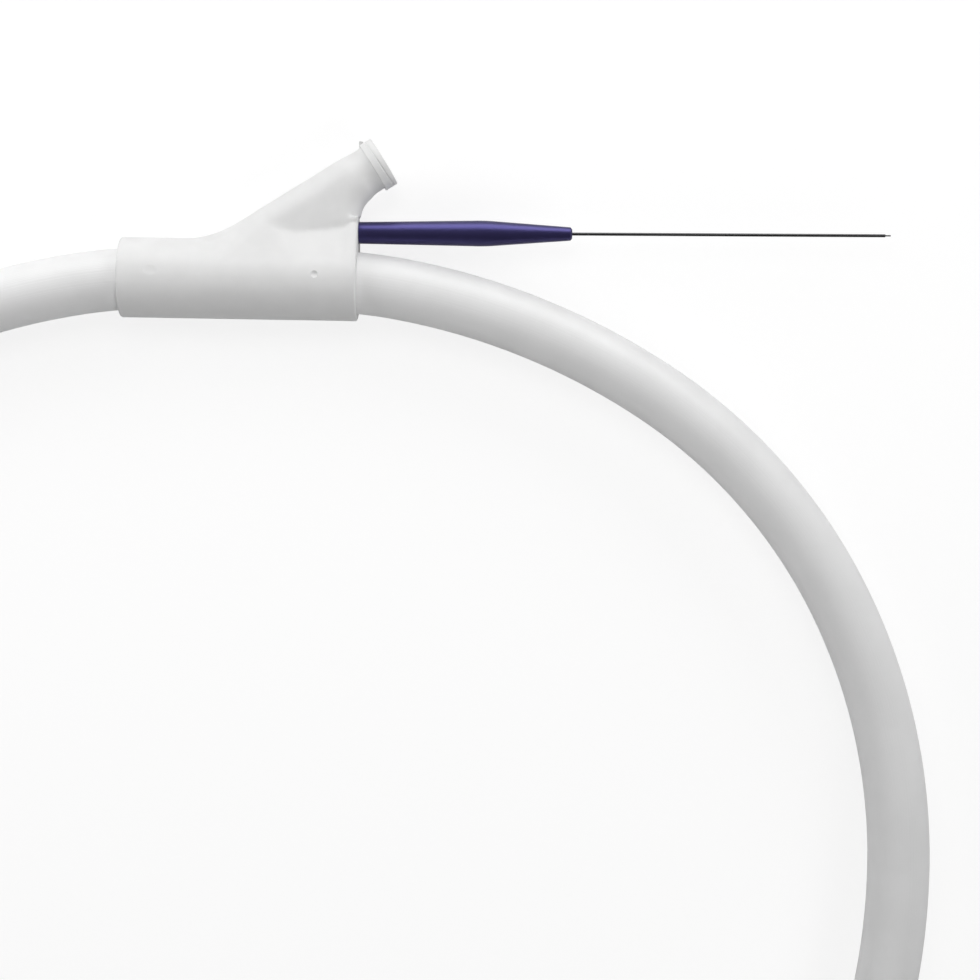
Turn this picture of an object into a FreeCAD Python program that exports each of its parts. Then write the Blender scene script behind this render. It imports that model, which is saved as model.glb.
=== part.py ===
import FreeCAD, Part
import Sketcher
import math
import os
import re

# A guidewire as it is supplied: coiled in a tube hoop, held by a moulded flush connector and led out
# through a tapered introducer. Lengths are in millimetres, angles in degrees.
# While it is built, X runs along the connector's barrel towards the introducer, Y points from the hoop's
# middle to the connector, Z is up, and zero is the middle of the barrel.

doc = FreeCAD.newDocument("guidewire")
sizes = doc.addObject("Spreadsheet::Sheet", "Sizes")

DRIVING_SIZES = {
    # hoop tube: its straight ends sit tilted in the sockets, then it bends on in arcs down each side
    "tube_diameter": 9.2,
    "tube_wall": 0.9,
    "socket_tilt": 4.8,
    "socket_depth": 10,
    "mouth_drop": 0.3,
    "lead_radius": 77.6,
    "lead_end": 9.55,
    "upper_radius": 103.5,
    "upper_end": 32.8,
    "flank_radius": 79.8,
    "flank_end": 63,
    "side_radius": 86,
    # connector barrel
    "barrel_length": 35.4,
    "barrel_diameter": 12,
    "rim_round": 0.35,
    "bond_gap": 0.05,
    # connector arm and flush port
    "arm_angle": 32.7,
    "arm_foot": -6.85,
    "arm_length": 33.45,
    "arm_diameter": 7.36,
    "arm_blend": 15.4,
    "arm_sink": 0.05,
    "arm_root": 3,
    "neck_diameter": 6.96,
    "neck_length": 5,
    "flange_diameter": 7.78,
    "flange_length": 2,
    "flange_edge": 0.12,
    "lug_diameter": 8.6,
    "lug_width": 0.55,
    "lug_arc": 56,
    "luer_mouth": 4.3,
    "luer_taper": 0.06,
    "luer_depth": 7.5,
    "flush_bore": 2.4,
    # body that carries the introducer beside the barrel
    "shoulder_start": -4,
    "shoulder_rise": 0.1,
    "shoulder_diameter": 6.4,
    "boss_start": 4.3,
    "boss_diameter": 6,
    "web_thickness": 5.8,
    "throat_radius": 4.2,
    "plate_thickness": 1,
    "plate_diameter": 7.6,
    "plate_flare": 2,
    "overlap": 1,
    "mark_diameter": 1.15,
    "mark_depth": 0.25,
    "mark_height": 1.1,
    "right_mark": 11.1,
    "left_mark": -13.3,
    # introducer and the line that it and the wire leave on
    "exit_height": 7.25,
    "exit_lean": 0.65,
    "seat_depth": 7.5,
    "seat_clearance": 0.04,
    "root_diameter": 3.24,
    "swell_diameter": 3.88,
    "swell_reach": 18.4,
    "swell_span": 3,
    "nose_diameter": 2,
    "nose_reach": 32,
    "nose_bevel": 0.3,
    "introducer_bore": 0.9,
    "funnel_diameter": 2,
    "funnel_length": 1.8,
    # guidewire
    "wire_diameter": 0.46,
    "wire_length": 800,
    "wire_exposed": 47.8,
    "wire_pitch": 0.6,
    "wire_gap": 0.15,
    "ramp_angle": 18,
    "ramp_radius": 15,
    "ramp_start": 5.5,
    "way_diameter": 2,
    "core_diameter": 0.34,
    "ground_diameter": 0.14,
    "ground_length": 15,
    "taper_length": 55,
    "core_setback": 1.2,
    "nib_diameter": 0.21,
    "nib_length": 0.75,
}

for row, (alias, value) in enumerate(DRIVING_SIZES.items(), start=1):
    sizes.set(f"A{row}", alias.replace("_", " "))
    sizes.set(f"B{row}", str(value))
    sizes.setAlias(f"B{row}", alias)
doc.recompute()


def value_of(formula):
    """The number that a formula of sheet names gives."""
    return float(sizes.evalExpression(str(formula)))


def bound(formula):
    """The same formula as other objects of the document write it."""
    return re.sub("|".join(rf"\b{alias}\b" for alias in DRIVING_SIZES), r"Sizes.\g<0>", str(formula))


def degrees(formula):
    return math.radians(value_of(formula))


def point(x, y):
    return FreeCAD.Vector(x, y, 0)


# Points and directions that several pieces share
END_X = value_of("barrel_length / 2")
TILT = degrees("socket_tilt")
INNER_X = END_X - value_of("socket_depth") * math.cos(TILT)
LAND_Y = value_of("socket_depth") * math.sin(TILT) - value_of("mouth_drop")
ARM = degrees("arm_angle")
LEAN = degrees("exit_lean")
# the outermost turn of wire, measured from the tube's centre line
OUTER_TURN = value_of("tube_diameter / 2 - tube_wall - wire_diameter / 2 - wire_gap")


def on_exit_line(x):
    """The point at x on the line that the introducer and the wire leave on."""
    return point(x, value_of("exit_height") + (x - END_X) * math.tan(LEAN))


# Routes, as straight runs joined by tangent arcs

class Route:
    """A flat path walked from a start point; it stops when its length is used up."""

    def __init__(self, start, heading, length=math.inf):
        self.place = start
        self.heading = heading
        self.start_direction = self.ahead()
        self.left = length
        self.places = [start]
        self.edges = []

    def ahead(self, turned=0):
        angle = math.radians(self.heading + turned)
        return point(math.cos(angle), math.sin(angle))

    def run(self, length):
        length = min(length, self.left)
        if length > 0:
            end = self.place + self.ahead() * length
            self.edges.append(Part.LineSegment(self.place, end))
            self.arrive(end, length)

    def turn(self, radius, angle):
        """Turn by an angle, to the left where it is positive."""
        length = min(radius * math.radians(abs(angle)), self.left)
        if length > 0:
            side = math.copysign(1, angle)
            swept = side * math.degrees(length / radius)
            centre = self.place + self.ahead(90 * side) * radius
            middle = centre + self.ahead(swept / 2 - 90 * side) * radius
            end = centre + self.ahead(swept - 90 * side) * radius
            # a sketch keeps every arc anticlockwise
            first, last = (self.place, end) if side > 0 else (end, self.place)
            self.edges.append(Part.Arc(first, middle, last))
            self.heading += swept
            self.arrive(end, length)

    def arrive(self, end, length):
        self.place = end
        self.places.append(end)
        self.left -= length


def hoop_side():
    """Radius and end angle of each arc down one side of the hoop."""
    return [(value_of(name + "_radius"), end) for name, end in (
        ("lead", value_of("lead_end")),
        ("upper", value_of("upper_end")),
        ("flank", value_of("flank_end")),
        ("side", 90),
    )]


def side_turns():
    """Radius and turn of each arc down one side of the hoop, from the connector's mouth on."""
    turns = []
    angle = value_of("socket_tilt")
    for radius, end in hoop_side():
        turns.append((radius, end - angle))
        angle = end
    return turns


def half_width():
    """How far the tube's centre line is from the middle at the hoop's widest place."""
    width = END_X
    angle = TILT
    for radius, end in hoop_side():
        width += radius * (math.sin(math.radians(end)) - math.sin(angle))
        angle = math.radians(end)
    return width


def tube_route():
    """The tube's centre line, from its end in the right socket round to its end in the left one."""
    route = Route(point(INNER_X, LAND_Y), -value_of("socket_tilt"))
    route.run(value_of("socket_depth"))
    for radius, turned in side_turns():
        route.turn(radius, -turned)
    route.turn(half_width(), -180)
    for radius, turned in reversed(side_turns()):
        route.turn(radius, -turned)
    route.run(value_of("socket_depth"))
    return route


def left_mouth(offset):
    """The point in the left mouth that lies an offset outwards from the tube's centre line."""
    return point(-END_X - offset * math.sin(TILT), offset * math.cos(TILT) - value_of("mouth_drop"))


def descend(route):
    """Lead a route from the exit line down the ramp, until it lies along the outer wall of the tube."""
    route.turn(value_of("ramp_radius"), value_of("ramp_angle - exit_lean"))
    # how far above the tube's outer wall line the lower bend would end without a run between the bends
    down = value_of("ramp_angle - socket_tilt")
    trial = Route(route.place, route.heading)
    trial.turn(value_of("ramp_radius"), -down)
    rise = (trial.place - left_mouth(OUTER_TURN)).dot(point(-math.sin(TILT), math.cos(TILT)))
    route.run(rise / math.sin(math.radians(down)))
    route.turn(value_of("ramp_radius"), -down)


def wire_route():
    """The whole wire behind the ramp's top: turn after turn against the tube's outer wall."""
    tip = value_of("nose_reach + wire_exposed")
    straight = tip + (END_X - value_of("ramp_start")) / math.cos(LEAN)
    start = on_exit_line(value_of("ramp_start"))
    route = Route(start, 180 + value_of("exit_lean"), value_of("wire_length") - straight)
    descend(route)
    offset = OUTER_TURN
    route.run((route.place - left_mouth(offset)).dot(point(math.cos(TILT), math.sin(TILT))))
    pitch = value_of("wire_pitch")
    while route.left > 0:
        for radius, turned in side_turns():
            route.turn(radius + offset, turned)
        route.turn(half_width() + offset - pitch / 2, 180)
        offset -= pitch
        for radius, turned in reversed(side_turns()):
            route.turn(radius + offset, turned)
        route.turn(END_X / math.sin(TILT) + offset, value_of("2 * socket_tilt"))
    return route


# Sketches

def new_body(label):
    body = doc.addObject("PartDesign::Body", label)
    body.Label = label
    doc.recompute()
    return body


def new_sketch(body, name, role="XY_Plane", away=None, turned=0):
    """A sketch on one of the body's own origin planes, moved or turned in that plane's frame."""
    sketch = body.newObject("Sketcher::SketchObject", name)
    plane = next(item for item in body.Origin.OriginFeatures if item.Role == role)
    sketch.AttachmentSupport = [(plane, "")]
    sketch.MapMode = "FlatFace"
    base = away or FreeCAD.Vector()
    sketch.AttachmentOffset = FreeCAD.Placement(base, FreeCAD.Rotation(FreeCAD.Vector(0, 0, 1), turned))
    return sketch


def pin(sketch, geometry, end, x, y):
    """Fix one point of the sketch at two formulas of sheet names."""
    for kind, axis, formula in (("DistanceX", -2, x), ("DistanceY", -1, y)):
        number = value_of(formula)
        if abs(number) < 1e-9:
            sketch.addConstraint(Sketcher.Constraint("PointOnObject", geometry, end, axis))
            continue
        index = sketch.addConstraint(Sketcher.Constraint(kind, -1, 1, geometry, end, number))
        sketch.renameConstraint(index, f"{kind}_{geometry}_{end}")
        sketch.setExpression(f"Constraints.{kind}_{geometry}_{end}", bound(formula))


def draw_polygon(sketch, corners, arcs=None):
    """A closed outline whose corners sit at formulas; a side with a radius in arcs is an outward arc."""
    places = [point(value_of(x), value_of(y)) for x, y in corners]
    radii = {side: value_of(formula) for side, formula in (arcs or {}).items()}
    for index, (place, following) in enumerate(zip(places, places[1:] + places[:1])):
        if index in radii:
            sketch.addGeometry(outward_arc(place, following, radii[index]))
        else:
            sketch.addGeometry(Part.LineSegment(place, following))
    count = len(corners)
    for index in range(count):
        sketch.addConstraint(Sketcher.Constraint("Coincident", index, 2, (index + 1) % count, 1))
    for index, (x, y) in enumerate(corners):
        pin(sketch, index, 1, x, y)
    for index, radius in radii.items():
        fix_radius(sketch, index, radius, arcs[index])


def outward_arc(place, following, radius):
    """An arc between two corners of an outline that is drawn anticlockwise."""
    chord = following - place
    outward = point(chord.y, -chord.x).normalize()
    rise = radius - math.sqrt(radius ** 2 - chord.Length ** 2 / 4)
    return Part.Arc(place, (place + following) / 2 + outward * rise, following)


def fix_radius(sketch, geometry, radius, formula):
    size = sketch.addConstraint(Sketcher.Constraint("Radius", geometry, radius))
    sketch.renameConstraint(size, f"radius_{geometry}")
    sketch.setExpression(f"Constraints.radius_{geometry}", bound(formula))


def draw_circle(sketch, x, y, diameter):
    """A circle centred at two formulas, as wide as a third."""
    centre = point(value_of(x), value_of(y))
    radius = value_of(diameter) / 2
    index = sketch.addGeometry(Part.Circle(centre, FreeCAD.Vector(0, 0, 1), radius))
    pin(sketch, index, 3, x, y)
    fix_radius(sketch, index, radius, f"({diameter}) / 2")


def draw_chain(sketch, edges, places, closed=False):
    """A chain of runs and arcs that meet at the given places, one before each edge."""
    for edge in edges:
        sketch.addGeometry(edge)
    for index in range(0 if closed else 1, len(edges)):
        pair = ((index - 1) % len(edges), index)
        ends = [1 if edges[number].StartPoint.distanceToPoint(places[index]) < 1e-5 else 2 for number in pair]
        sketch.addConstraint(Sketcher.Constraint("Coincident", pair[0], ends[0], pair[1], ends[1]))


def draw_egg(sketch, height, diameter):
    """The barrel's circle and a smaller one above it, joined by their outer tangents."""
    big = value_of("barrel_diameter / 2")
    small = value_of(diameter) / 2
    rise = value_of(height)
    spread = math.acos((big - small) / rise)
    normal = FreeCAD.Vector(0, 0, 1)
    lower = Part.Circle(point(0, 0), normal, big)
    upper = Part.Circle(point(rise, 0), normal, small)
    low = [point(big * math.cos(spread), side * big * math.sin(spread)) for side in (1, -1)]
    high = [point(rise + small * math.cos(spread), side * small * math.sin(spread)) for side in (1, -1)]
    sketch.addGeometry(Part.LineSegment(low[1], high[1]))
    sketch.addGeometry(Part.ArcOfCircle(upper, -spread, spread))
    sketch.addGeometry(Part.LineSegment(high[0], low[0]))
    sketch.addGeometry(Part.ArcOfCircle(lower, spread, 2 * math.pi - spread))
    for index in range(4):
        sketch.addConstraint(Sketcher.Constraint("Tangent", index, 2, (index + 1) % 4, 1))
    pin(sketch, 1, 3, height, 0)
    pin(sketch, 3, 3, 0, 0)
    fix_radius(sketch, 1, small, f"({diameter}) / 2")
    fix_radius(sketch, 3, big, "barrel_diameter / 2")


# Features

def pad(body, sketch, name, length, both_ways=False):
    feature = body.newObject("PartDesign::Pad", name)
    feature.Profile = sketch
    feature.SideType = "Symmetric" if both_ways else "One side"
    feature.setExpression("Length", bound(length))
    return feature


def turned(body, sketch, name, cut=False, angle=360):
    """The sketch turned about its own horizontal axis, added to the body or cut out of it."""
    feature = body.newObject("PartDesign::Groove" if cut else "PartDesign::Revolution", name)
    feature.Profile = sketch
    feature.ReferenceAxis = (sketch, ["H_Axis"])
    feature.Midplane = angle != 360
    feature.Angle = angle
    return feature


def swept(body, section, path, name, cut=False):
    feature = body.newObject("PartDesign::SubtractivePipe" if cut else "PartDesign::AdditivePipe", name)
    feature.Profile = section
    feature.Spine = (path, [])
    return feature


def rounded(body, name, radius, is_chosen):
    """Round the body's edges that a test picks."""
    doc.recompute()
    solid = body.Tip
    names = [f"Edge{number}" for number, edge in enumerate(solid.Shape.Edges, start=1) if is_chosen(edge)]
    feature = body.newObject("PartDesign::Fillet", name)
    feature.Base = (solid, names)
    feature.setExpression("Radius", bound(radius))


def lies_at(edge, x):
    """Whether an edge lies in the plane at x."""
    return abs(edge.BoundBox.XMin - x) + abs(edge.BoundBox.XMax - x) < 1e-5


def across(body, name, route, diameters):
    """A sketch of circles square to a route's start, for a pipe along it."""
    start = route.places[0]
    sketch = body.newObject("Sketcher::SketchObject", name)
    turn_to = FreeCAD.Rotation(FreeCAD.Vector(0, 0, 1), route.start_direction)
    plane = next(item for item in body.Origin.OriginFeatures if item.Role == "XY_Plane")
    sketch.AttachmentSupport = [(plane, "")]
    sketch.MapMode = "FlatFace"
    sketch.AttachmentOffset = FreeCAD.Placement(start, turn_to)
    for diameter in diameters:
        draw_circle(sketch, 0, 0, diameter)
    return sketch


# Hoop tube: extruded tube, bent into the hoop

def make_hoop_tube():
    body = new_body("hoop_tube")
    route = tube_route()
    path = new_sketch(body, "tube_path")
    draw_chain(path, route.edges, route.places)
    section = across(body, "tube_section", route, ("tube_diameter", "tube_diameter - 2 * tube_wall"))
    swept(body, section, path, "tube")
    return body


# Flush connector: one moulding

def placed_sketch(body, name, x, y, angle):
    """A flat sketch moved and turned by formulas of sheet names."""
    sketch = new_sketch(body, name, away=point(value_of(x), value_of(y)), turned=value_of(angle))
    for place, formula in (("Base.x", x), ("Base.y", y), ("Rotation.Angle", angle)):
        sketch.setExpression("AttachmentOffset." + place, bound(formula))
    return sketch


def arm_sketch(body, name):
    """A sketch whose horizontal axis is the arm's axis, from its foot on the barrel's axis."""
    return placed_sketch(body, name, "arm_foot", 0, "arm_angle")


def exit_sketch(body, name):
    """A sketch whose horizontal axis is the exit line, from the connector's right face."""
    return placed_sketch(body, name, "barrel_length / 2", "exit_height", "exit_lean")


def arm_route():
    """The arm's centre line: along the barrel's top, up the blend, and on to the mouth."""
    depth = value_of("(barrel_diameter - arm_diameter) / 2 - arm_sink")
    radius = value_of("arm_blend + arm_diameter / 2")
    corner = value_of("arm_foot") + depth / math.tan(ARM)
    cut_back = radius * math.tan(ARM / 2)
    route = Route(point(corner - cut_back - value_of("arm_root"), depth), 0)
    route.run(value_of("arm_root"))
    route.turn(radius, value_of("arm_angle"))
    end = value_of("arm_length - neck_length")
    route.run(end - (depth / math.sin(ARM) + cut_back))
    return route


def add_arm(body):
    route = arm_route()
    path = new_sketch(body, "arm_path")
    draw_chain(path, route.edges, route.places)
    swept(body, across(body, "arm_section", route, ("arm_diameter",)), path, "arm")
    neck = arm_sketch(body, "neck_profile")
    draw_polygon(neck, (
        ("arm_length - neck_length - overlap", 0),
        ("arm_length", 0),
        ("arm_length", "flange_diameter / 2 - flange_edge"),
        ("arm_length - flange_edge", "flange_diameter / 2"),
        ("arm_length - flange_length", "flange_diameter / 2"),
        ("arm_length - flange_length", "neck_diameter / 2"),
        ("arm_length - flange_length - overlap", "neck_diameter / 2"),
        ("arm_length - neck_length - overlap", "arm_diameter / 2"),
    ))
    turned(body, neck, "neck_and_flange")
    lug = arm_sketch(body, "lug_profile")
    draw_polygon(lug, (
        ("arm_length - flange_length", "neck_diameter / 2 - overlap"),
        ("arm_length - flange_length + lug_width", "neck_diameter / 2 - overlap"),
        ("arm_length - flange_length + lug_width", "flange_diameter / 2"),
        ("arm_length - flange_length + lug_width / 2", "lug_diameter / 2"),
        ("arm_length - flange_length", "lug_diameter / 2"),
    ))
    turned(body, lug, "lug", angle=value_of("lug_arc"))


def egg_sketch(body, name, x, height, diameter):
    """The cross-section at x of the barrel with the body above it."""
    sketch = new_sketch(body, name, "YZ_Plane", away=FreeCAD.Vector(0, 0, value_of(x)))
    sketch.setExpression("AttachmentOffset.Base.z", bound(x))
    draw_egg(sketch, height, diameter)
    return sketch


def add_introducer_body(body):
    """The boss beside the barrel, the shoulder that leads into it, and its flare into the end plate."""
    shoulder = body.newObject("PartDesign::AdditiveLoft", "shoulder")
    shoulder_height = "(barrel_diameter - shoulder_diameter) / 2 + shoulder_rise"
    shoulder.Profile = egg_sketch(body, "shoulder_outline", "shoulder_start", shoulder_height,
                                  "shoulder_diameter")
    shoulder.Sections = [egg_sketch(body, "shoulder_end", "boss_start", "exit_height", "boss_diameter")]
    shoulder.Ruled = True
    boss = egg_sketch(body, "boss_outline", "boss_start", "exit_height", "boss_diameter")
    pad(body, boss, "boss", "barrel_length / 2 - boss_start")
    plate_back = "barrel_length / 2 - plate_thickness"
    plate = egg_sketch(body, "plate_outline", plate_back, "exit_height", "plate_diameter")
    pad(body, plate, "end_plate", "plate_thickness")
    flare = body.newObject("PartDesign::AdditiveLoft", "flare")
    flare.Profile = egg_sketch(body, "flare_start", plate_back + " - plate_flare", "exit_height",
                               "boss_diameter")
    flare.Sections = [egg_sketch(body, "flare_end", plate_back, "exit_height", "plate_diameter")]
    flare.Ruled = True


def add_web(body):
    """The web between the arm and the boss, with the round throat below the neck."""
    radius = value_of("throat_radius")
    neck = value_of("neck_diameter / 2")
    along = point(math.cos(ARM), math.sin(ARM))
    square = point(-math.sin(ARM), math.cos(ARM))
    foot = point(value_of("arm_foot"), 0)
    # the throat's centre is one radius out from the right face and one radius below the neck
    reach = (END_X + radius - foot.x + (neck + radius) * math.sin(-ARM)) / math.cos(ARM)
    centre = foot + along * reach - square * (neck + radius)
    face = point(END_X, centre.y)
    under = centre + square * radius
    axis = under + square * neck
    boss = on_exit_line(END_X)
    root = foot + along * (boss.y / math.sin(ARM))
    sketch = new_sketch(body, "web_outline")
    middle = centre + (point(-1, 0) + square).normalize() * radius
    draw_chain(sketch, [
        Part.LineSegment(boss, face),
        Part.Arc(under, middle, face),
        Part.LineSegment(under, axis),
        Part.LineSegment(axis, root),
        Part.LineSegment(root, boss),
    ], [boss, face, under, axis, root], closed=True)
    pad(body, sketch, "web", "web_thickness", both_ways=True)


def cut_tube_sockets(body):
    """A socket from each end, tilted as the tube's end is, and the bore between them."""
    for side, name in ((1, "right_socket"), (-1, "left_socket")):
        sketch = placed_sketch(body, name + "_profile", f"{side} * barrel_length / 2", "-mouth_drop",
                               f"{-side} * socket_tilt")
        draw_polygon(sketch, (
            (f"{-side} * socket_depth", 0),
            (f"{side} * barrel_diameter / 2", 0),
            (f"{side} * barrel_diameter / 2", "tube_diameter / 2 + bond_gap"),
            (f"{-side} * socket_depth", "tube_diameter / 2 + bond_gap"),
        ))
        turned(body, sketch, name, cut=True)
    bore = placed_sketch(body, "bore_profile", 0, "socket_depth * sin(socket_tilt) - mouth_drop", 0)
    bore_end = "(barrel_length / 2 - socket_depth + overlap)"
    draw_polygon(bore, (
        (f"-{bore_end}", 0),
        (bore_end, 0),
        (bore_end, "tube_diameter / 2 - tube_wall"),
        (f"-{bore_end}", "tube_diameter / 2 - tube_wall"),
    ))
    turned(body, bore, "bore", cut=True)


def cut_flush_passage(body):
    """The tapered mouth and the bore from it down to the barrel."""
    sketch = arm_sketch(body, "flush_profile")
    draw_polygon(sketch, (
        (0, 0),
        ("arm_length", 0),
        ("arm_length", "luer_mouth / 2"),
        ("arm_length - luer_depth", "(luer_mouth - luer_taper * luer_depth) / 2"),
        ("arm_length - luer_depth", "flush_bore / 2"),
        (0, "flush_bore / 2"),
    ))
    turned(body, sketch, "flush_passage", cut=True)


def root_radius(distance):
    """Formula of the introducer's radius at a distance out from the connector's face."""
    return f"(root_diameter + (swell_diameter - root_diameter) * ({distance}) / swell_reach) / 2"


def cut_exit_passage(body):
    """The introducer's tapered seat, and the wire's way into it from the left socket."""
    seat = exit_sketch(body, "seat_profile")
    draw_polygon(seat, (
        ("-seat_depth", 0),
        ("overlap", 0),
        ("overlap", root_radius("overlap") + " + seat_clearance"),
        ("-seat_depth", root_radius("-seat_depth") + " + seat_clearance"),
    ))
    turned(body, seat, "introducer_seat", cut=True)
    start = on_exit_line(END_X - value_of("seat_depth") + value_of("way_diameter") / 2)
    route = Route(start, 180 + value_of("exit_lean"))
    route.run((start.x - value_of("ramp_start")) / math.cos(LEAN))
    descend(route)
    path = new_sketch(body, "way_path")
    draw_chain(path, route.edges, route.places)
    swept(body, across(body, "way_section", route, ("way_diameter",)), path, "wire_way", cut=True)


def cut_marks(body):
    """The two round marks that the mould leaves on the barrel's front."""
    ball = value_of("(mark_diameter ^ 2 / 4 + mark_depth ^ 2) / (2 * mark_depth)")
    radius = value_of("barrel_diameter / 2")
    height = value_of("mark_height")
    for name in ("right_mark", "left_mark"):
        mark = body.newObject("PartDesign::SubtractiveSphere", name)
        mark.Radius = ball
        level = math.sqrt(radius ** 2 - height ** 2) + ball - value_of("mark_depth")
        plane = next(item for item in body.Origin.OriginFeatures if item.Role == "XY_Plane")
        mark.AttachmentSupport = [(plane, "")]
        mark.MapMode = "FlatFace"
        offset = FreeCAD.Vector(value_of(name), height, level)
        mark.AttachmentOffset = FreeCAD.Placement(offset, FreeCAD.Rotation())


def make_flush_connector():
    body = new_body("flush_connector")
    barrel = new_sketch(body, "barrel_outline", "YZ_Plane")
    draw_circle(barrel, 0, 0, "barrel_diameter")
    pad(body, barrel, "barrel", "barrel_length", both_ways=True)
    add_introducer_body(body)
    rounded(body, "end_rims", "rim_round", lambda edge: lies_at(edge, END_X) or lies_at(edge, -END_X))
    add_arm(body)
    add_web(body)
    cut_tube_sockets(body)
    cut_flush_passage(body)
    cut_exit_passage(body)
    cut_marks(body)
    return body


# Introducer: one turned-looking moulding with a bore

def make_introducer():
    body = new_body("introducer")
    sketch = exit_sketch(body, "introducer_profile")
    root_slope = "((swell_diameter - root_diameter) / 2 / swell_reach)"
    nose_slope = "((swell_diameter - nose_diameter) / 2 / (nose_reach - nose_bevel - swell_reach))"
    draw_polygon(sketch, (
        ("funnel_length - seat_depth", "introducer_bore / 2"),
        ("nose_reach", "introducer_bore / 2"),
        ("nose_reach", "nose_diameter / 2 - nose_bevel"),
        ("nose_reach - nose_bevel", "nose_diameter / 2"),
        ("swell_reach + swell_span / 2", f"(swell_diameter - {nose_slope} * swell_span) / 2"),
        ("swell_reach - swell_span / 2", f"(swell_diameter - {root_slope} * swell_span) / 2"),
        ("-seat_depth", root_radius("-seat_depth")),
        ("-seat_depth", "funnel_diameter / 2"),
    ), arcs={4: f"swell_span / 2 / tan((atan({nose_slope}) + atan({root_slope})) / 2)"})
    turned(body, sketch, "introducer_body")
    return body


# Guidewire: a ground core in a polymer jacket

def add_wire_turns(body, name, diameters):
    route = wire_route()
    path = new_sketch(body, name + "_path")
    draw_chain(path, route.edges, route.places)
    swept(body, across(body, name + "_section", route, diameters), path, name + "_turns")


def wire_end_sketch(body, name):
    """A sketch along the exit line, from the ramp's top to the wire's tip."""
    height = "exit_height - (barrel_length / 2 - ramp_start) * tan(exit_lean)"
    return placed_sketch(body, name, "ramp_start", height, "exit_lean")


WIRE_END = "((barrel_length / 2 - ramp_start) / cos(exit_lean) + nose_reach + wire_exposed)"
CORE_END = f"{WIRE_END} - core_setback"


def make_guidewire_core():
    body = new_body("guidewire_core")
    add_wire_turns(body, "core", ("core_diameter",))
    end = wire_end_sketch(body, "core_profile")
    draw_polygon(end, (
        (0, 0),
        (CORE_END, 0),
        (CORE_END, "ground_diameter / 2"),
        (f"{CORE_END} - ground_length", "ground_diameter / 2"),
        (f"{CORE_END} - ground_length - taper_length", "core_diameter / 2"),
        (0, "core_diameter / 2"),
    ))
    turned(body, end, "ground_end")
    return body


def make_guidewire_jacket():
    body = new_body("guidewire_jacket")
    add_wire_turns(body, "jacket", ("wire_diameter", "core_diameter"))
    end = wire_end_sketch(body, "jacket_profile")
    draw_polygon(end, (
        (0, "core_diameter / 2"),
        (f"{CORE_END} - ground_length - taper_length", "core_diameter / 2"),
        (f"{CORE_END} - ground_length", "ground_diameter / 2"),
        (CORE_END, "ground_diameter / 2"),
        (CORE_END, 0),
        (WIRE_END, 0),
        (WIRE_END, "nib_diameter / 4"),
        (f"{WIRE_END} - nib_diameter / 4", "nib_diameter / 2"),
        (f"{WIRE_END} - nib_length", "nib_diameter / 2"),
        (f"{WIRE_END} - nib_length - (wire_diameter - nib_diameter) / 2", "wire_diameter / 2"),
        (0, "wire_diameter / 2"),
    ))
    turned(body, end, "jacket_end")
    return body


pieces = [
    make_hoop_tube(),
    make_flush_connector(),
    make_introducer(),
    make_guidewire_core(),
    make_guidewire_jacket(),
]
doc.recompute()

# Every object and every piece has to be sound before anything is written
for item in doc.Objects:
    if "Invalid" in item.State or "Error" in item.State:
        raise RuntimeError(f"{item.Label} did not build: {item.State}")
for piece in pieces:
    if piece.Shape.isNull() or not piece.Shape.isValid():
        raise RuntimeError(f"{piece.Label} is not a sound solid")

# The part stands with its origin on the floor below the middle of its box
box = FreeCAD.BoundBox()
for piece in pieces:
    box.add(piece.Shape.optimalBoundingBox(False, False))
for piece in pieces:
    piece.Placement = FreeCAD.Placement(FreeCAD.Vector(-box.Center.x, -box.Center.y, -box.ZMin),
                                        FreeCAD.Rotation())
doc.recompute()

os.makedirs("parts", exist_ok=True)
for piece in pieces:
    piece.Shape.exportStep(f"parts/{piece.Label}.step")
    print(piece.Label, len(piece.Shape.Solids), round(piece.Shape.Volume, 2))
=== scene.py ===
import math

import bmesh
import bpy
from mathutils import Matrix, Vector


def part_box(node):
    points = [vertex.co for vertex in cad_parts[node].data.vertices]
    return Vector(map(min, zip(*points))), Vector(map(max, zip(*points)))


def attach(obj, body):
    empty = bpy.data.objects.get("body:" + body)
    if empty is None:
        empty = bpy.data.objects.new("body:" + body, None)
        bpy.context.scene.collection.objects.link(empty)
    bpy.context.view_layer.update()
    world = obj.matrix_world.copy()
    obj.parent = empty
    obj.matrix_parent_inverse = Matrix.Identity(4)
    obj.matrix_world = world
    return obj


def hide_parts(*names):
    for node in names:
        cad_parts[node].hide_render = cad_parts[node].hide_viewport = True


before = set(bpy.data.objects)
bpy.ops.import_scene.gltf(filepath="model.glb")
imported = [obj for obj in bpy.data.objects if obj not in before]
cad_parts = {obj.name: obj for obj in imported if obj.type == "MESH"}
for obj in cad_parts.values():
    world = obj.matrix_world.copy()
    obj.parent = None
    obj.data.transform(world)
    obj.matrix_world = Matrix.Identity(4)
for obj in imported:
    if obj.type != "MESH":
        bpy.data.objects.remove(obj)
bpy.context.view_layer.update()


# Hoop tube
# Milky polyethylene tube, extruded straight and bent into the hoop that stores the wire.
# Its two straight ends are bonded into the connector's sockets.

MM = 0.001
UP = Vector((0, 0, 1))
connector_low = Vector(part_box("flush_connector")[0])
BARREL_RADIUS = 6 * MM
BARREL_HALF = 17.7 * MM
BARREL_MIDDLE = connector_low + Vector((BARREL_HALF, BARREL_RADIUS, BARREL_RADIUS))
TUBE_RADIUS = 4.6 * MM
TUBE_BORE = 3.7 * MM
TUBE_SEGMENTS = 72
SOCKET_TILT = 4.8
SOCKET_DEPTH = 10 * MM
MOUTH_DROP = 0.3 * MM
# the radius of each arc down the right side, and the heading that it ends at
HOOP_SIDE = ((77.6 * MM, 9.55), (103.5 * MM, 32.8), (79.8 * MM, 63), (86 * MM, 90))


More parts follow.
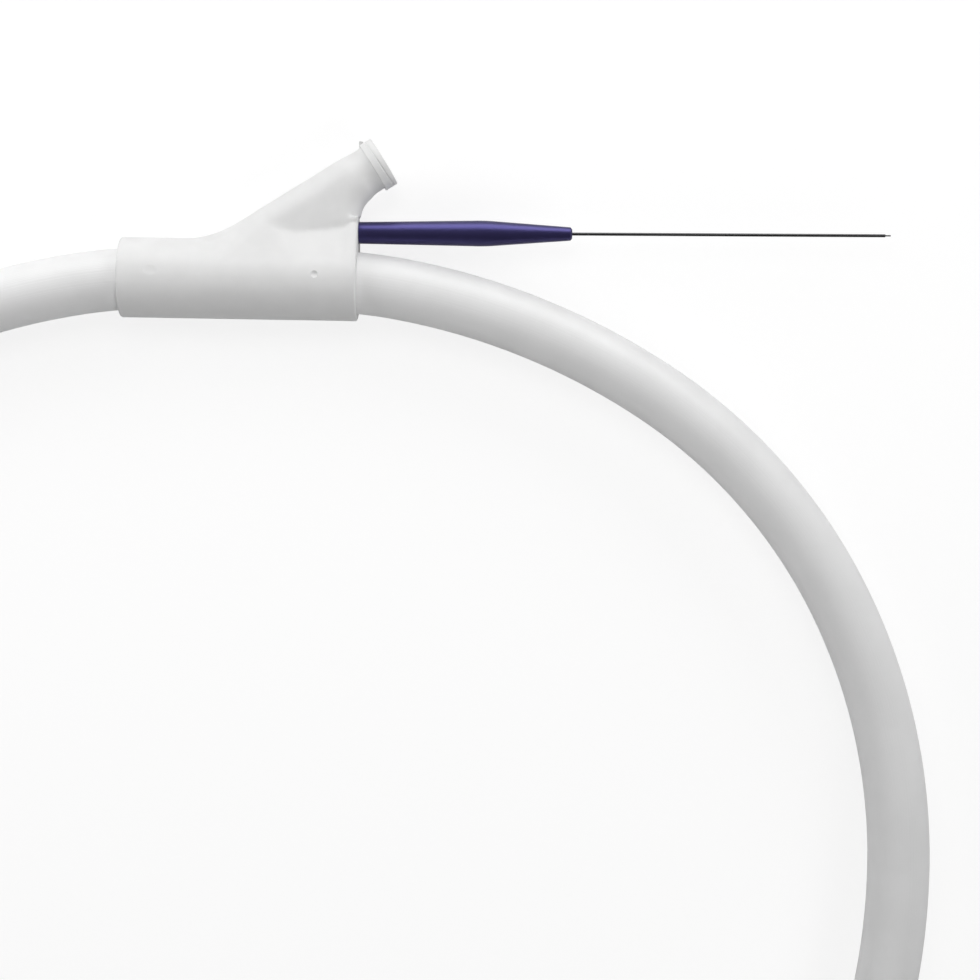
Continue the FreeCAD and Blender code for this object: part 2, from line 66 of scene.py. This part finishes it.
def heading_vector(degrees):
    return Vector((math.cos(math.radians(degrees)), math.sin(math.radians(degrees)), 0))


class Drawing:
    """Draws rings of edges along straight runs and tangent turns, as an extruder would."""

    def __init__(self, place, heading, radii, segments):
        self.bm = bmesh.new()
        self.place = place
        self.heading = heading
        self.around = self.bm.verts.layers.float.new("around")
        stand = Matrix.Rotation(math.radians(heading), 4, "Z") @ Matrix.Rotation(math.pi / 2, 4, "Y")
        self.rings = []
        for radius in radii:
            ring = bmesh.ops.create_circle(self.bm, segments=segments, radius=radius,
                                           matrix=Matrix.Translation(place) @ stand)["verts"]
            for number, vert in enumerate(ring):
                vert[self.around] = abs(2 * number / segments - 1)
            self.rings.append(ring)
        self.first = self.edges()
        self.last = list(self.first)

    def edges(self):
        return list(dict.fromkeys(edge for ring in self.rings for vert in ring for edge in vert.link_edges))

    def run(self, length, steps=1):
        for _ in range(steps):
            made = bmesh.ops.extrude_edge_only(self.bm, edges=self.last)["geom"]
            moved = [item for item in made if isinstance(item, bmesh.types.BMVert)]
            bmesh.ops.translate(self.bm, verts=moved, vec=heading_vector(self.heading) * (length / steps))
            self.last = [item for item in made if isinstance(item, bmesh.types.BMEdge)
                         and all(vert in set(moved) for vert in item.verts)]
        self.place = self.place + heading_vector(self.heading) * length

    def turn(self, radius, angle, fineness=1.5):
        side = math.copysign(1, angle)
        centre = self.place + heading_vector(self.heading + 90 * side) * radius
        steps = max(2, math.ceil(abs(angle) / fineness))
        geometry = self.last + list(dict.fromkeys(vert for edge in self.last for vert in edge.verts))
        made = bmesh.ops.spin(self.bm, geom=geometry, cent=centre, axis=UP * side,
                              angle=math.radians(abs(angle)), steps=steps)["geom_last"]
        self.last = [item for item in made if isinstance(item, bmesh.types.BMEdge)]
        self.heading += angle
        self.place = centre - heading_vector(self.heading + 90 * side) * radius


def mesh_object(bm, name):
    """The mesh as an object at the origin, with its faces turned outwards."""
    bmesh.ops.recalc_face_normals(bm, faces=bm.faces)
    mesh = bpy.data.meshes.new(name)
    bm.to_mesh(mesh)
    bm.free()
    made = bpy.data.objects.new(name, mesh)
    bpy.context.scene.collection.objects.link(made)
    return made


def shade(made, sharp_above):
    made.data.shade_smooth()
    made.data.set_sharp_from_angle(angle=math.radians(sharp_above))


def finished_object(bm, name, sharp_above=40):
    """The same without double vertices, smooth but for its sharp edges."""
    bmesh.ops.remove_doubles(bm, verts=bm.verts, dist=1e-7)
    made = mesh_object(bm, name)
    shade(made, sharp_above)
    return made


inner_x = BARREL_HALF - SOCKET_DEPTH * math.cos(math.radians(SOCKET_TILT))
inner_y = SOCKET_DEPTH * math.sin(math.radians(SOCKET_TILT)) - MOUTH_DROP
tube_end = BARREL_MIDDLE + Vector((inner_x, inner_y, 0))
hoop = Drawing(tube_end, -SOCKET_TILT, (TUBE_RADIUS, TUBE_BORE), TUBE_SEGMENTS)
hoop.run(SOCKET_DEPTH, steps=2)
side_turns = []
reached = SOCKET_TILT
widest = BARREL_HALF
for arc_radius, arc_end in HOOP_SIDE:
    side_turns.append((arc_radius, arc_end - reached))
    widest += arc_radius * (math.sin(math.radians(arc_end)) - math.sin(math.radians(reached)))
    reached = arc_end
for arc_radius, arc_turn in side_turns + [(widest, 180)] + side_turns[::-1]:
    hoop.turn(arc_radius, -arc_turn)
hoop.run(SOCKET_DEPTH, steps=2)
bmesh.ops.bridge_loops(hoop.bm, edges=hoop.first)
bmesh.ops.bridge_loops(hoop.bm, edges=hoop.last)
tube = finished_object(hoop.bm, "hoop_tube_drawn")


class Wire:
    """A socket's value in a material, so that mixtures are written as plain arithmetic."""

    def __init__(self, graph, socket):
        self.graph = graph
        self.socket = socket

    def __add__(self, other):
        return self.graph.node("ShaderNodeMath", {"operation": "ADD"}, self, other)

    def __mul__(self, other):
        return self.graph.node("ShaderNodeMath", {"operation": "MULTIPLY"}, self, other)

    __radd__ = __add__
    __rmul__ = __mul__


class Finish:
    """A material with one Principled shader, whose nodes come from one method."""

    def __init__(self, name, **fixed):
        self.material = bpy.data.materials.new(name)
        self.material.use_nodes = True
        self.tree = self.material.node_tree
        self.shader = self.tree.nodes["Principled BSDF"]
        for socket, value in fixed.items():
            self.shader.inputs[socket.replace("_", " ")].default_value = value
        self.place = self.node("ShaderNodeTexCoord", {}, output="Object")

    def node(self, kind, settings, *values, output=0, **named):
        made = self.tree.nodes.new(kind)
        for setting, value in settings.items():
            setattr(made, setting, value)
        by_name = [(socket.replace("_", " "), value) for socket, value in named.items()]
        for socket, value in list(enumerate(values)) + by_name:
            if isinstance(value, Wire):
                self.tree.links.new(value.socket, made.inputs[socket])
            elif value is not None:
                made.inputs[socket].default_value = value
        return Wire(self, made.outputs[output])

    def noise(self, scale, detail):
        return self.node("ShaderNodeTexNoise", {}, Vector=self.place, Scale=scale, Detail=detail)

    def blend(self, factor, first, second):
        # the sockets between the factor and the two colours are for numbers and vectors, and stay free
        free = (None,) * 5
        return self.node("ShaderNodeMix", {"data_type": "RGBA"}, factor, *free, (*first, 1), (*second, 1),
                         output=2)

    def ramp(self, factor, low, high):
        return self.node("ShaderNodeMapRange", {"interpolation_type": "SMOOTHSTEP"}, factor, low, high, 0, 1)

    def send(self, socket, wire):
        self.tree.links.new(wire.socket, self.shader.inputs[socket])

    def raise_by(self, height, distance):
        self.send("Normal", self.node("ShaderNodeBump", {}, Height=height, Distance=distance, Strength=1))


MILKY_TONES = ((0.845, 0.845, 0.845), (0.875, 0.875, 0.875))
DRAW_LINE_HEIGHT = 0.02 * MM
milky = Finish("milky_tube", IOR=1.5, Specular_IOR_Level=0.2)
streaks = milky.node("ShaderNodeAttribute", {"attribute_name": "around"}, output="Fac")
lines = milky.node("ShaderNodeTexNoise", {"noise_dimensions": "1D"}, W=streaks, Scale=60, Detail=3)
clouds = milky.noise(120, 3)
milky.send("Base Color", milky.blend(milky.ramp(clouds, 0.3, 0.7), *MILKY_TONES))
milky.send("Roughness", 0.34 + 0.1 * milky.noise(900, 2))
milky.raise_by(lines + 0.5 * clouds, DRAW_LINE_HEIGHT)
tube.data.materials.append(milky.material)
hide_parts("hoop_tube")
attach(tube, "dispenser")


# Flush connector
# One white polypropylene moulding. The barrel holds both ends of the tube, the arm is the flush port with
# its luer mouth, and the boss between them holds the introducer; a web and a soft blend join them.

# lengths in millimetres from the barrel's middle, or along the arm from its foot, and angles in degrees
ARM_ANGLE = 32.7
ARM_FOOT = Vector((-6.85, 0, 0))
ARM_LENGTH = 33.45
ARM_RADIUS = 3.68
NECK_RADIUS = 3.48
FLANGE_RADIUS = 3.89
FLANGE_LENGTH = 2
EXIT_HEIGHT = 7.25
EXIT_LEAN = 0.65
SEAT_DEPTH = 7.5
DISC_SEGMENTS = 160
along_arm = heading_vector(ARM_ANGLE)
across_arm = heading_vector(ARM_ANGLE + 90)
barrel_radius = BARREL_RADIUS / MM
barrel_half = BARREL_HALF / MM
to_metres = Matrix.Translation(BARREL_MIDDLE) @ Matrix.Scale(MM, 4)
lying = Matrix.Rotation(math.pi / 2, 4, "Y")


def hull_form(discs):
    """The hull round discs, each given by its centre, heading and radius."""
    bm = bmesh.new()
    verts = []
    for centre, heading, radius in discs:
        stand = Matrix.Translation(centre) @ Matrix.Rotation(math.radians(heading), 4, "Z") @ lying
        verts += bmesh.ops.create_circle(bm, segments=DISC_SEGMENTS, radius=radius, matrix=stand)["verts"]
    hull = bmesh.ops.convex_hull(bm, input=verts)
    inner = [item for item in set(hull["geom_interior"] + hull["geom_unused"])
             if isinstance(item, bmesh.types.BMVert)]
    bmesh.ops.delete(bm, geom=inner, context="VERTS")
    return mesh_object(bm, "hull_form")


def add_turned(bm, place, heading, outline, segments=128, angle=360, lead=0.0, start=0):
    """An outline of distances and radii turned about a line, a full turn or a part that may rise."""
    verts = [bm.verts.new(Vector((distance, radius, 0))) for distance, radius in outline]
    edges = [bm.edges.new(pair) for pair in zip(verts, verts[1:])]
    full = angle == 360
    if outline[0][1] > 0:
        edges.append(bm.edges.new((verts[-1], verts[0])))
    sheet = verts + edges if full else verts + edges + [bm.faces.new(verts)]
    bmesh.ops.spin(bm, geom=sheet, cent=(0, 0, 0), axis=(1, 0, 0), angle=math.radians(angle), steps=segments,
                   dvec=(lead * angle / 360 / segments, 0, 0), use_merge=full)
    moved = {vert for edge in edges for vert in edge.verts}
    frontier = list(moved)
    while frontier:
        vert = frontier.pop()
        joined = {edge.other_vert(vert) for edge in vert.link_edges} - moved
        moved |= joined
        frontier += joined
    if full:
        bmesh.ops.remove_doubles(bm, verts=list(moved), dist=1e-5)
    moved = [vert for vert in moved if vert.is_valid]
    stand = (Matrix.Translation(place) @ Matrix.Rotation(math.radians(heading), 4, "Z")
             @ Matrix.Rotation(math.radians(start), 4, "X"))
    bmesh.ops.transform(bm, matrix=stand, verts=moved)


def apply_modifier(owner, kind, **settings):
    modifier = owner.modifiers.new(kind.lower(), kind)
    for setting, value in settings.items():
        setattr(modifier, setting, value)
    bpy.context.view_layer.objects.active = owner
    bpy.ops.object.modifier_apply(modifier=modifier.name)


def combine(owner, operation, form):
    """Join a form to the owner, or cut it out, and throw the form away."""
    apply_modifier(owner, "BOOLEAN", operation=operation, solver="MANIFOLD", object=form)
    bpy.data.objects.remove(form)


def turned_form(place, heading, outline, **shape):
    bm = bmesh.new()
    add_turned(bm, place, heading, outline, **shape)
    return mesh_object(bm, "turned_form")


def on_exit_line(x):
    return Vector((x, EXIT_HEIGHT + (x - barrel_half) * math.tan(math.radians(EXIT_LEAN)), 0))


def rim_steps(rounding):
    """How far in from an end, and how far under full size, a rounded rim is."""
    for angle in (0, 22.5, 45, 67.5, 90):
        turn_by = math.radians(angle)
        yield rounding * (1 - math.sin(turn_by)), rounding * (1 - math.cos(turn_by))


def egg(x, radius, smaller=0):
    """The discs of the barrel and of the round form above it, at one x."""
    return [(Vector((x, 0, 0)), 0, barrel_radius - smaller),
            (Vector((x, EXIT_HEIGHT, 0)), 0, radius - smaller)]


# the moulding's body is joined from its plain forms, and its inner corners are worked soft further on
BOSS_ROOT = (-4, 2.9, 3.2)
BOSS_START = 4.3
BOSS_RADIUS = 3
CROOK_START = -2
CROOK_END = 8.5
CROOK_FOOT = 9
CROOK_REACH = 13.9
PLATE_RADIUS = 3.4
PLATE_THICKNESS = 1
PLATE_FLARE = 1
RIM_ROUND = 0.35
FAR_RIM_ROUND = 0.12
crisp = hull_form([(Vector((side * (barrel_half - inwards), 0, 0)), 0, barrel_radius - smaller)
                   for side, rounding in ((1, RIM_ROUND), (-1, FAR_RIM_ROUND))
                   for inwards, smaller in rim_steps(rounding)])
plate_back = barrel_half - PLATE_THICKNESS
root_x, root_height, root_radius = BOSS_ROOT
combine(crisp, "UNION", hull_form(
    [(Vector((root_x, 0, 0)), 0, barrel_radius), (Vector((root_x, root_height, 0)), 0, root_radius)]
    + egg(BOSS_START, BOSS_RADIUS)))
combine(crisp, "UNION", hull_form(
    [(Vector((CROOK_START, 0, 0)), 0, barrel_radius)] + egg(CROOK_END, BOSS_RADIUS)
    + [(ARM_FOOT + along_arm * distance, ARM_ANGLE, ARM_RADIUS) for distance in (CROOK_FOOT, CROOK_REACH)]))
combine(crisp, "UNION", hull_form(egg(BOSS_START, BOSS_RADIUS) + egg(plate_back, BOSS_RADIUS)))
combine(crisp, "UNION", hull_form(egg(plate_back - PLATE_FLARE, BOSS_RADIUS) + egg(plate_back, PLATE_RADIUS)))
combine(crisp, "UNION", hull_form(egg(plate_back, PLATE_RADIUS) + [
    disc for inwards, smaller in rim_steps(RIM_ROUND)
    for disc in egg(barrel_half - inwards, PLATE_RADIUS, smaller)]))

# the arm leaves the barrel on a blend, and narrows to the neck
ARM_BLEND = 15.4
ARM_SINK = 0.05
ARM_LEAD_IN = 3
ARM_OVERLAP = 5
NECK_TAPER = (ARM_LENGTH - 6, ARM_LENGTH - 3)
NECK_SPARE = 3
depth = barrel_radius - ARM_RADIUS - ARM_SINK
blend_radius = ARM_BLEND + ARM_RADIUS
cut_back = blend_radius * math.tan(math.radians(ARM_ANGLE / 2))
corner = ARM_FOOT.x + depth / math.tan(math.radians(ARM_ANGLE))
arm = Drawing(Vector((corner - cut_back - ARM_LEAD_IN, depth, 0)), 0, (ARM_RADIUS,), DISC_SEGMENTS)
arm.run(ARM_LEAD_IN)
arm.turn(blend_radius, ARM_ANGLE, fineness=0.7)
arm.run(ARM_LENGTH - ARM_OVERLAP - depth / math.sin(math.radians(ARM_ANGLE)) - cut_back)
bmesh.ops.edgeloop_fill(arm.bm, edges=arm.first)
bmesh.ops.edgeloop_fill(arm.bm, edges=arm.last)
combine(crisp, "UNION", mesh_object(arm.bm, "arm_form"))
combine(crisp, "UNION", turned_form(ARM_FOOT, ARM_ANGLE, (
    (NECK_TAPER[0], 0), (NECK_TAPER[0], ARM_RADIUS), (NECK_TAPER[1], NECK_RADIUS),
    (ARM_LENGTH + NECK_SPARE, NECK_RADIUS), (ARM_LENGTH + NECK_SPARE, 0))))

# the web is thin in the crease beside the boss, thicker on the bench above it, and as thick as the arm
# where it meets the arm
THROAT_RADIUS = 4.2
THROAT_SPARE = 0.7
PLATE_SPARE = 0.2
WEB_FOOT = 12
CREASE_START = 6.3
CREASE_RISE = 1.2
CREASE_HEIGHT = 2.75
BENCH_START = 9.2
BENCH_RISE = 2.5
BENCH_HEIGHT = 3.35
ARC_STEPS = 16
ARC_FIRST = 3
ring = NECK_RADIUS + THROAT_RADIUS
reach = barrel_half + THROAT_RADIUS - ARM_FOOT.x - ring * math.sin(math.radians(ARM_ANGLE))
throat = ARM_FOOT + along_arm * (reach / math.cos(math.radians(ARM_ANGLE))) - across_arm * ring
boss_end = on_exit_line(barrel_half)
outline = [on_exit_line(plate_back), boss_end, Vector((barrel_half, throat.y + PLATE_SPARE, 0))]
for number in range(ARC_FIRST, ARC_STEPS + 1):
    towards = heading_vector(180 - (90 - ARM_ANGLE) * number / ARC_STEPS)
    outline.append(throat + towards * (THROAT_RADIUS - THROAT_SPARE))
outline.append(outline[-1] + across_arm * NECK_RADIUS)
outline.append(ARM_FOOT + along_arm * (boss_end.y / math.sin(math.radians(ARM_ANGLE))))
web = bmesh.new()
face = web.faces.new([web.verts.new(spot - UP * barrel_radius) for spot in outline])
grown = bmesh.ops.extrude_face_region(web, geom=[face])["geom"]
bmesh.ops.translate(web, verts=[item for item in grown if isinstance(item, bmesh.types.BMVert)],
                    vec=UP * (2 * barrel_radius))
web_form = mesh_object(web, "web_form")
combine(web_form, "INTERSECT", hull_form(
    [(ARM_FOOT + along_arm * distance, ARM_ANGLE, radius)
     for distance, radius in ((WEB_FOOT, ARM_RADIUS), (NECK_TAPER[0], ARM_RADIUS),
                              (ARM_LENGTH - FLANGE_LENGTH, NECK_RADIUS))]
    + [(on_exit_line(x) + Vector((0, CREASE_RISE, 0)), 0, CREASE_HEIGHT) for x in (CREASE_START, barrel_half)]
    + [(on_exit_line(x) + Vector((0, BENCH_RISE, 0)), 0, BENCH_HEIGHT) for x in (BENCH_START, barrel_half)]))
combine(crisp, "UNION", web_form)

# the throat's edge is a full round, as thick as the neck that it runs into
NOSE_FULLNESS = 0.3
CUTTER_CORE = 0.5
CUTTER_HEIGHT = 8
nose_radius = NECK_RADIUS + NOSE_FULLNESS
nose = [(CUTTER_CORE, -CUTTER_HEIGHT), (ring, -CUTTER_HEIGHT)] + [
    (ring - nose_radius * math.cos(math.radians(tilt)), nose_radius * math.sin(math.radians(tilt)))
    for tilt in range(-90, 91, 6)] + [(ring, CUTTER_HEIGHT), (CUTTER_CORE, CUTTER_HEIGHT)]
cutter = bmesh.new()
sector = cutter.faces.new([cutter.verts.new(throat + heading_vector(90) * out + UP * high)
                           for out, high in nose])
bmesh.ops.spin(cutter, geom=list(cutter.verts) + list(cutter.edges) + [sector], cent=throat, axis=UP,
               angle=math.radians(90), steps=60)
combine(crisp, "DIFFERENCE", mesh_object(cutter, "nose_cutter"))

# a fine even mesh is smoothed between the barrel's ends, which keep their edges
VOXEL = 0.2
CRISP_END = 0.7
FIRST_SMOOTHING = 5
SOFT_SMOOTHING = 30
body = crisp.copy()
body.data = crisp.data.copy()
bpy.context.scene.collection.objects.link(body)
apply_modifier(body, "REMESH", mode="VOXEL", voxel_size=VOXEL, use_smooth_shade=True)
soft = body.vertex_groups.new(name="soft")
firm = body.vertex_groups.new(name="firm")
for vert in body.data.vertices:
    on_barrel = vert.co.y < EXIT_HEIGHT + PLATE_RADIUS
    from_end = barrel_half - abs(vert.co.x) if on_barrel else barrel_half
    softness = min(1, max(0, from_end - CRISP_END))
    if softness > 0:
        soft.add([vert.index], softness, "REPLACE")
    if softness < 1:
        firm.add([vert.index], 1 - softness, "REPLACE")
apply_modifier(body, "SMOOTH", factor=0.5, iterations=FIRST_SMOOTHING)
apply_modifier(body, "SHRINKWRAP", target=crisp, wrap_method="NEAREST_SURFACEPOINT", vertex_group="firm")
apply_modifier(body, "SMOOTH", factor=0.5, iterations=SOFT_SMOOTHING, vertex_group="soft")
bpy.data.objects.remove(crisp)

# the neck is cut off and ends in the luer flange, with its lock lug and a shallow rising groove
NECK_CUT = 0.7
CLEARANCE = 5
FLANGE_ROUND = 0.06
MOUTH_ROUND = ((0.16, 0), (0.05, 0.05), (0, 0.16))
LUG_RADIUS = 4.42
LUG_TURN = 34
GROOVE_DEPTH = 0.14
GROOVE_TURN = 205
GROOVE_LEAD = 0.9
GROOVE_START = -25
mouth = ARM_LENGTH
combine(body, "DIFFERENCE", turned_form(ARM_FOOT, ARM_ANGLE, (
    (mouth - NECK_CUT, 0), (mouth - NECK_CUT, CLEARANCE), (mouth + CLEARANCE, CLEARANCE),
    (mouth + CLEARANCE, 0))))
combine(body, "UNION", turned_form(ARM_FOOT, ARM_ANGLE, [
    (mouth - FLANGE_LENGTH, 0), (mouth - FLANGE_LENGTH, FLANGE_RADIUS - FLANGE_ROUND),
    (mouth - FLANGE_LENGTH + FLANGE_ROUND, FLANGE_RADIUS)]
    + [(mouth - back, FLANGE_RADIUS - smaller) for back, smaller in MOUTH_ROUND] + [(mouth, 0)]))
combine(body, "UNION", turned_form(ARM_FOOT, ARM_ANGLE, (
    (mouth - 2.16, NECK_RADIUS - 0.2), (mouth - 2.16, NECK_RADIUS - 0.05), (mouth - 1.7, LUG_RADIUS),
    (mouth - 1.45, LUG_RADIUS), (mouth - 1, FLANGE_RADIUS - 0.05), (mouth - 1, NECK_RADIUS - 0.2)),
    segments=48, angle=LUG_TURN, start=-LUG_TURN / 2))
combine(body, "DIFFERENCE", turned_form(ARM_FOOT, ARM_ANGLE, (
    (mouth - 1.55, FLANGE_RADIUS + 0.2), (mouth - 1.26, FLANGE_RADIUS - GROOVE_DEPTH),
    (mouth - 1.1, FLANGE_RADIUS - GROOVE_DEPTH), (mouth - 0.95, FLANGE_RADIUS + 0.2)),
    segments=120, angle=GROOVE_TURN, lead=GROOVE_LEAD, start=GROOVE_START))

# the sockets, the bore between them, the flush passage with its luer taper, the seat and the mould marks
SOCKET_RADIUS = 4.65
MIDDLE_BORE_HALF = 8.7
FLUSH_RADIUS = 1.2
LUER_DEPTH = 7.5
LUER_RADII = (1.925, 2.15, 2.27)
SEAT_RADII = (1.538, 1.66, 1.85)
# each mark's place along and across the barrel, its ball's radius and its depth
MARKS = ((11.6, 0.4, 0.75, 0.25), (-12.6, 1.2, 6, 0.045))
for side in (1, -1):
    combine(body, "DIFFERENCE", turned_form(
        Vector((side * barrel_half, -MOUTH_DROP / MM, 0)), -side * SOCKET_TILT + (180 if side > 0 else 0),
        ((-1, 0), (-1, SOCKET_RADIUS), (SOCKET_DEPTH / MM, SOCKET_RADIUS), (SOCKET_DEPTH / MM, 0))))
combine(body, "DIFFERENCE", turned_form(
    Vector((0, inner_y / MM, 0)), 0, ((-MIDDLE_BORE_HALF, 0), (-MIDDLE_BORE_HALF, TUBE_BORE / MM),
                                      (MIDDLE_BORE_HALF, TUBE_BORE / MM), (MIDDLE_BORE_HALF, 0))))
combine(body, "DIFFERENCE", turned_form(ARM_FOOT, ARM_ANGLE, (
    (0, 0), (0, FLUSH_RADIUS), (mouth - LUER_DEPTH, FLUSH_RADIUS), (mouth - LUER_DEPTH, LUER_RADII[0]),
    (mouth - 0.12, LUER_RADII[1]), (mouth + 0.02, LUER_RADII[2]), (mouth + 1, LUER_RADII[2]),
    (mouth + 1, 0))))
combine(body, "DIFFERENCE", turned_form(on_exit_line(barrel_half), EXIT_LEAN, (
    (-SEAT_DEPTH, 0), (-SEAT_DEPTH, SEAT_RADII[0]), (-0.12, SEAT_RADII[1]), (0.1, SEAT_RADII[2]),
    (1, SEAT_RADII[2]), (1, 0))))
for x, y, ball, sink in MARKS:
    mark = bmesh.new()
    height = math.sqrt(barrel_radius ** 2 - y ** 2) + ball - sink
    bmesh.ops.create_icosphere(mark, subdivisions=5, radius=ball, matrix=Matrix.Translation((x, y, height)))
    combine(body, "DIFFERENCE", mesh_object(mark, "mark_form"))
body.data.transform(to_metres)
shade(body, sharp_above=38)
body.name = "flush_connector_moulded"

WHITE_TONES = ((0.80, 0.80, 0.798), (0.825, 0.825, 0.823))
GRAIN_HEIGHT = 0.012 * MM
moulded = Finish("moulded_white", IOR=1.49, Specular_IOR_Level=0.2)
grain = moulded.noise(9000, 2)
mottle = moulded.noise(260, 4)
moulded.send("Base Color", moulded.blend(moulded.ramp(mottle, 0.3, 0.7), *WHITE_TONES))
moulded.send("Roughness", 0.44 + 0.12 * mottle)
moulded.raise_by(grain + 0.6 * mottle, GRAIN_HEIGHT)
body.data.materials.clear()
body.data.materials.append(moulded.material)
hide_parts("flush_connector")
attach(body, "dispenser")


# Introducer
# Violet moulded plastic, plugged by its taper into the connector's seat. Its nose is fed into a catheter's
# hub and its bore guides the wire's soft tip in.

NOSE_REACH = 32
SWELL_REACH = 18.4
SWELL_RADIUS = 1.922
SWELL_HALF = 1.5
SWELL_SLOPE = 0.014
SWELL_BEND = 0.038
BORE_RADIUS = 0.45
FUNNEL_LENGTH = 1.8
shape = bmesh.new()
swell = [(SWELL_REACH + SWELL_HALF * step, SWELL_RADIUS - SWELL_SLOPE * step - SWELL_BEND * step * step)
         for step in (-1, -0.5, 0, 0.5, 1)]
add_turned(shape, on_exit_line(barrel_half), EXIT_LEAN, [
    (-SEAT_DEPTH, 1), (-SEAT_DEPTH, 1.45), (-SEAT_DEPTH + 0.05, 1.498)] + swell + [
    (NOSE_REACH - 0.32, 1.01), (NOSE_REACH - 0.25, 0.99), (NOSE_REACH - 0.03, 0.74), (NOSE_REACH, 0.69),
    (NOSE_REACH, BORE_RADIUS + 0.05), (NOSE_REACH - 0.05, BORE_RADIUS),
    (FUNNEL_LENGTH - SEAT_DEPTH, BORE_RADIUS)], segments=96)
bmesh.ops.transform(shape, matrix=to_metres, verts=shape.verts)
introducer = finished_object(shape, "introducer_moulded", sharp_above=30)
FINE_GRAIN_HEIGHT = 0.008 * MM
VIOLET_TONES = ((0.016, 0.014, 0.042), (0.021, 0.018, 0.054))
violet = Finish("violet_plastic", IOR=1.6, Specular_IOR_Level=0.75, Specular_Tint=(0.36, 0.32, 1, 1))
tint = violet.noise(500, 3)
violet.send("Base Color", violet.blend(tint, *VIOLET_TONES))
violet.send("Roughness", 0.33 + 0.08 * violet.noise(2200, 2))
violet.raise_by(violet.noise(5000, 2) + 0.5 * tint, FINE_GRAIN_HEIGHT)
introducer.data.materials.append(violet.material)
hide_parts("introducer")
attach(introducer, "introducer")


# Guidewire
# A nickel titanium core, drawn and ground to a taper, in a black polyurethane jacket with a slick coat.
# It is coiled in the tube and comes out through the connector and the introducer.

slick = Finish("slick_black", IOR=1.5)
slick.send("Base Color", slick.blend(slick.noise(1500, 2), (0.010, 0.010, 0.011), (0.016, 0.016, 0.017)))
slick.send("Roughness", 0.2 + 0.08 * slick.noise(4000, 2))
ground = Finish("ground_metal", Metallic=1.0, Roughness=0.3)
ground.send("Base Color", ground.blend(ground.noise(3000, 2), (0.50, 0.50, 0.52), (0.58, 0.58, 0.60)))
for node_name, finish in (("guidewire_jacket", slick), ("guidewire_core", ground)):
    for material_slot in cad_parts[node_name].material_slots:
        material_slot.material = finish.material


# Floor, light and camera
# A plain ground that shows near white to the camera and keeps a faint shadow, an even weak light from all
# round, six soft lamps and the camera straight above, turned as the photograph was.

FLOOR_HALF = 3
FLOOR_FAINT = 0.24
FLOOR_GLOW = 0.80
WORLD_LIGHT = 0.15
floor_mesh = bmesh.new()
bmesh.ops.create_grid(floor_mesh, x_segments=1, y_segments=1, size=FLOOR_HALF)
floor = finished_object(floor_mesh, "floor")
pale = Finish("floor_white", Roughness=0.95, Base_Color=(0.86, 0.86, 0.86, 1))
faint = pale.node("ShaderNodeBsdfDiffuse", {}, Color=(FLOOR_FAINT, FLOOR_FAINT, FLOOR_FAINT, 1))
glow = pale.node("ShaderNodeEmission", {}, Strength=FLOOR_GLOW)
seen_floor = pale.node("ShaderNodeAddShader", {}, faint, glow)
camera_ray = pale.node("ShaderNodeLightPath", {}, output="Is Camera Ray")
choice = pale.node("ShaderNodeMixShader", {}, camera_ray, Wire(pale, pale.shader.outputs[0]), seen_floor)
pale.tree.links.new(choice.socket, pale.tree.nodes["Material Output"].inputs["Surface"])
floor.data.materials.append(pale.material)

# the camera sees the world white, while it lights the part weakly
world = bpy.data.worlds.new("studio")
bpy.context.scene.world = world
world.use_nodes = True
sky = world.node_tree
background = sky.nodes["Background"]
background.inputs["Color"].default_value = (1, 1, 1, 1)
sky_paths = sky.nodes.new("ShaderNodeLightPath")
sky_level = sky.nodes.new("ShaderNodeMapRange")
sky_level.inputs["To Min"].default_value = WORLD_LIGHT
sky_level.inputs["To Max"].default_value = 1
sky.links.new(sky_paths.outputs["Is Camera Ray"], sky_level.inputs["Value"])
sky.links.new(sky_level.outputs[0], background.inputs["Strength"])

middle_of_view = Vector((38.03, 53.82, 6)) * MM
# each lamp's place in millimetres, its watts, its width and height for each unit of distance, and the
# kind of reflection that it adds
LAMPS = (
    ("right_key", (232, 248, 128), 0.26, 0.6, 0.4, "both"),
    ("back_key", (38, 448, 150), 0.30, 1.2, 0.4, "matt"),
    ("left_key", (-212, 187, 104), 0.29, 0.6, 0.4, "both"),
    ("top_fill", (-7, 177, 276), 0.21, 0.6, 0.4, "matt"),
    ("front_fill", (611, -629, 809), 3.4, 0.6, 0.4, "matt"),
    ("back_sheen", (38, 438, 180), 2.6, 1.2, 0.8, "gloss"))
for name, place, power, wide, tall, lights in LAMPS:
    aim = middle_of_view - Vector(place) * MM
    lamp = bpy.data.lights.new(name, "AREA")
    lamp.shape = "RECTANGLE"
    lamp.size = wide * aim.length
    lamp.size_y = tall * aim.length
    lamp.energy = power
    made = bpy.data.objects.new(name, lamp)
    made.location = Vector(place) * MM
    made.visible_camera = False
    made.visible_diffuse = lights != "gloss"
    made.visible_glossy = lights != "matt"
    made.rotation_euler = aim.to_track_quat("-Z", "Y").to_euler()
    bpy.context.scene.collection.objects.link(made)

CAMERA_HEIGHT = 0.3189
CAMERA_TURN = 0.97
FRAME_PIXELS = 980
DISTANCE_PIXELS = 2126
SENSOR_WIDTH = 36
camera_data = bpy.data.cameras.new("camera")
camera_data.sensor_width = SENSOR_WIDTH
camera_data.lens = SENSOR_WIDTH * DISTANCE_PIXELS / FRAME_PIXELS
camera = bpy.data.objects.new("camera", camera_data)
camera.location = middle_of_view + UP * CAMERA_HEIGHT
camera.rotation_euler = (0, 0, math.radians(CAMERA_TURN))
bpy.context.scene.collection.objects.link(camera)
bpy.context.scene.camera = camera
bpy.context.scene.view_settings.view_transform = "Standard"
